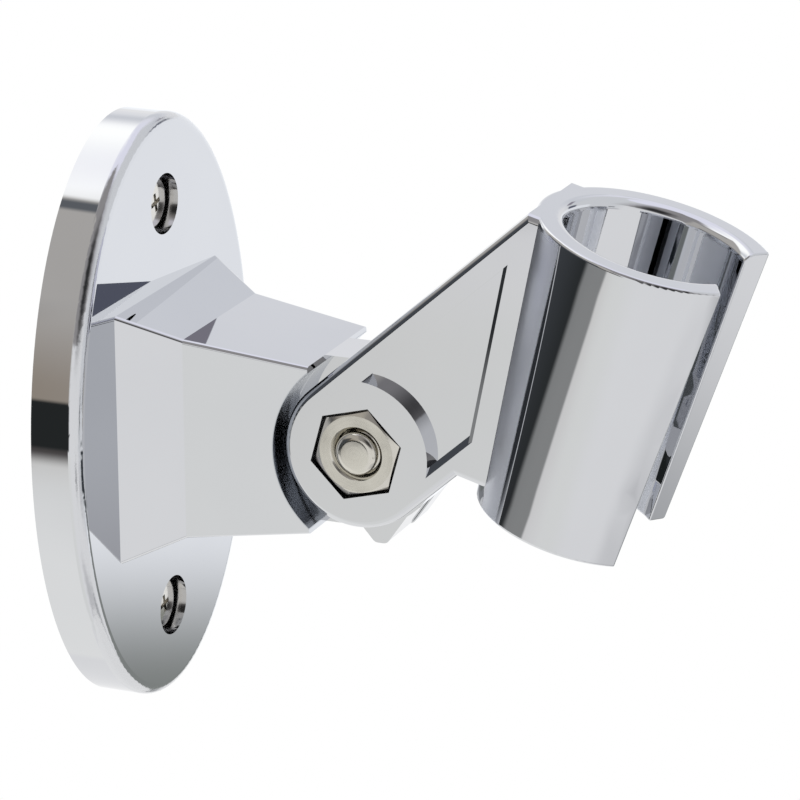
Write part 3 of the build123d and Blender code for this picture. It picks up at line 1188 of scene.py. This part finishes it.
@dataclass
class Studio:
    """White tent round the object, its darker openings, a pale floor and the camera."""

    tent: Colour = (1.0, 1.0, 1.0)
    panels: Sequence[Panel] = PANELS
    backdrop: Colour = (1.0, 1.0, 1.0)
    floor_centre: Point = (0.03, 0.0, -0.10)
    floor_radius: float = 0.055
    floor_segments: int = 96
    floor_colour: Colour = (0.86, 0.86, 0.86)
    glow_colour: Colour = (1.0, 1.0, 0.985)
    glow_strength: float = 1.1
    glow_share: float = 0.9
    camera_place: Point = (0.223404, -0.446396, 0.163713)
    camera_forward: Point = (-0.36429, 0.87738, -0.31226)
    camera_up: Point = (-0.11629, 0.28982, 0.94999)
    camera_reach: float = 10.0
    lens: float = 185.985
    sensor: float = 36.0

    def build(self) -> None:
        """Make the world, the floor and the camera."""
        self.make_world()
        self.make_floor()
        self.make_camera()

    def tent_colour(self, tree: Tree) -> Shade:
        """Paint the tent and its panels by direction.

        Args:
            tree: World's node tree.

        Returns:
            The colour seen in a ray's direction.
        """
        coords = tree.nodes.new("ShaderNodeTexCoord")
        parts = tree.nodes.new("ShaderNodeSeparateXYZ")
        tree.links.new(coords.outputs["Generated"], parts.inputs[0])
        x, y, z = parts.outputs
        azimuth = math_node(tree, "DEGREES", math_node(tree, "ARCTAN2", x, product(tree, y, -1.0)))
        elevation = math_node(tree, "DEGREES", math_node(tree, "ARCSINE", z))
        colour: Shade = self.tent
        for panel in self.panels:
            colour = mix_colour(tree, panel.mask(tree, azimuth, elevation), colour, panel.colour)
        return colour

    def make_world(self) -> None:
        """Make the tent for all rays but the camera's, which see the plain backdrop."""
        world = bpy.data.worlds.new("studio_tent")
        bpy.context.scene.world = world
        world.use_nodes = True
        tree = world.node_tree
        tree.nodes.clear()
        tent = tree.nodes.new("ShaderNodeBackground")
        tree.links.new(self.tent_colour(tree), tent.inputs["Color"])
        plain = tree.nodes.new("ShaderNodeBackground")
        plain.inputs["Color"].default_value = (*self.backdrop, 1.0)
        rays = tree.nodes.new("ShaderNodeLightPath")
        choose = tree.nodes.new("ShaderNodeMixShader")
        output = tree.nodes.new("ShaderNodeOutputWorld")
        tree.links.new(rays.outputs["Is Camera Ray"], choose.inputs[0])
        tree.links.new(tent.outputs[0], choose.inputs[1])
        tree.links.new(plain.outputs[0], choose.inputs[2])
        tree.links.new(choose.outputs[0], output.inputs["Surface"])

    def floor_finish(self) -> bpy.types.Material:
        """Matt floor that looks white to the camera and in the metal.

        Returns:
            The floor's material.
        """
        material = bpy.data.materials.new("pale_floor")
        material.use_nodes = True
        tree = material.node_tree
        tree.nodes.clear()
        matt = tree.nodes.new("ShaderNodeBsdfDiffuse")
        matt.inputs["Color"].default_value = (*self.floor_colour, 1.0)
        glow = tree.nodes.new("ShaderNodeEmission")
        glow.inputs["Color"].default_value = (*self.glow_colour, 1.0)
        glow.inputs["Strength"].default_value = self.glow_strength
        rays = tree.nodes.new("ShaderNodeLightPath")
        seen = rays.outputs["Is Camera Ray"]
        for name in ("Is Glossy Ray", "Is Transmission Ray"):
            seen = math_node(tree, "MAXIMUM", seen, rays.outputs[name])
        mix = tree.nodes.new("ShaderNodeMixShader")
        output = tree.nodes.new("ShaderNodeOutputMaterial")
        tree.links.new(product(tree, seen, self.glow_share), mix.inputs[0])
        tree.links.new(matt.outputs[0], mix.inputs[1])
        tree.links.new(glow.outputs[0], mix.inputs[2])
        tree.links.new(mix.outputs[0], output.inputs["Surface"])
        return material

    def make_floor(self) -> bpy.types.Object:
        """Make the pale round floor.

        Returns:
            The floor object.
        """
        mesh = bpy.data.meshes.new("floor")
        shape = bmesh.new()
        bmesh.ops.create_circle(shape, cap_ends=True, segments=self.floor_segments, radius=self.floor_radius,
                                matrix=Matrix.Translation(self.floor_centre))
        shape.to_mesh(mesh)
        shape.free()
        floor = bpy.data.objects.new("floor", mesh)
        bpy.context.collection.objects.link(floor)
        mesh.materials.append(self.floor_finish())
        return floor

    def make_camera(self) -> None:
        """Make the camera at the photograph's viewpoint."""
        data = bpy.data.cameras.new("viewpoint")
        data.lens = self.lens
        data.sensor_width = self.sensor
        data.clip_end = self.camera_reach
        camera = bpy.data.objects.new("viewpoint", data)
        back = -Vector(self.camera_forward).normalized()
        right = Vector(self.camera_up).cross(back).normalized()
        turn = Matrix((right, back.cross(right), back)).transposed()
        camera.matrix_world = Matrix.Translation(self.camera_place) @ turn.to_4x4()
        bpy.context.collection.objects.link(camera)
        bpy.context.scene.camera = camera


def main() -> None:
    """Load the frame, build and dress its sub-assemblies in order and set up the studio."""
    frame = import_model()
    nodes = frame["nodes"]
    WallBracket().dress(nodes)
    WallScrews().dress()
    HolderArm().dress(nodes)
    FrictionWashers().dress(nodes)
    PivotFastening().dress(nodes)
    Studio().build()
    bpy.context.scene.view_settings.view_transform = "Standard"


if __name__ == "__main__":
    logging.basicConfig(level=logging.INFO, format="%(name)s: %(message)s")
    main()
